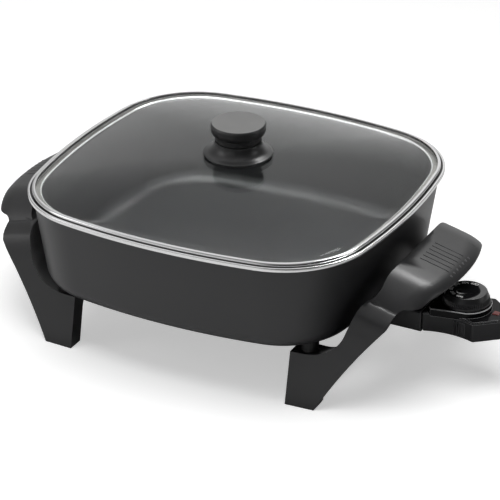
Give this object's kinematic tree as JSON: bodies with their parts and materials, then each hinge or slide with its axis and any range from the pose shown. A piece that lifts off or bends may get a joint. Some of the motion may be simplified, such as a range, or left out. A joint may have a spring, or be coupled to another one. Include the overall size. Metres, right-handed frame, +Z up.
{
  "type": "electric skillet",
  "caption": "Square electric skillet: deep cast pan on moulded leg handles, domed glass lid with a steel band, and a plug-in dial control with its probe.",
  "frame": {"origin": "on the table, under the middle of the whole object's bounding box", "axes": "+X from the left handle to the temperature control, +Y from the front to the back, +Z up"},
  "size_m": [0.4608, 0.2944, 0.1816],
  "materials": {
    "pan_coat": "satin charcoal non-stick coat",
    "bare_steel": "bright",
    "heater_sheath": "dull",
    "ceramic": "glazed",
    "black_moulding": "satin",
    "black_gloss": "polished",
    "zinc_screw": "plated",
    "clear_glass": "clear",
    "lens_red": "translucent",
    "lamp_glass": "clear",
    "spring_brass": "rolled",
    "heat_board": "pressed",
    "spacer_black": "matt",
    "cord_rubber": "matt",
    "dial_black": "satin"
  },
  "bodies": {
    "root": {"pan": "pan_coat", "heating_element": "heater_sheath", "element_pins": "bare_steel", "end_seals": "ceramic", "handle_right": "black_moulding", "handle_left": "black_moulding", "handle_spacers": "spacer_black", "handle_screws_right": "zinc_screw", "handle_screws_left": "zinc_screw", "probe_guard": "black_moulding", "guard_screws": "zinc_screw"},
    "lid": {"lid_glass": "clear_glass", "lid_band": "bare_steel", "knob_skirt": "black_moulding", "knob_grip": "black_moulding", "knob_washer": "zinc_screw", "knob_screw": "zinc_screw"},
    "control": {"control_base": "black_moulding", "control_cover": "black_gloss", "control_screws": "zinc_screw", "indicator_lens": "lens_red", "pilot_lamp": "lamp_glass", "probe_tube": "bare_steel", "push_rod": "bare_steel", "contact_sleeves": "spring_brass", "sleeve_block": "heat_board", "thermostat_frame": "zinc_screw", "fixed_leaf": "spring_brass", "moving_leaf": "spring_brass", "contact_points": "spring_brass", "cord_gland": "cord_rubber"},
    "dial": {"dial_knob": "dial_black", "dial_spindle": "zinc_screw", "dial_cam": "heat_board"}
  },
  "joints": [
    {"name": "lid_lift", "type": "slide", "parent": "root", "child": "lid", "axis": [0, 0, 1], "range_m": [0, 0.1]},
    {"name": "control_pull", "type": "slide", "parent": "root", "child": "control", "axis": [1, 0, 0], "range_m": [0, 0.075]},
    {"name": "dial_turn", "type": "hinge", "parent": "control", "child": "dial", "pos_m": [0.18187, 0, 0.072], "axis": [0, 0, 1], "range_deg": [0, 300]}
  ]
}
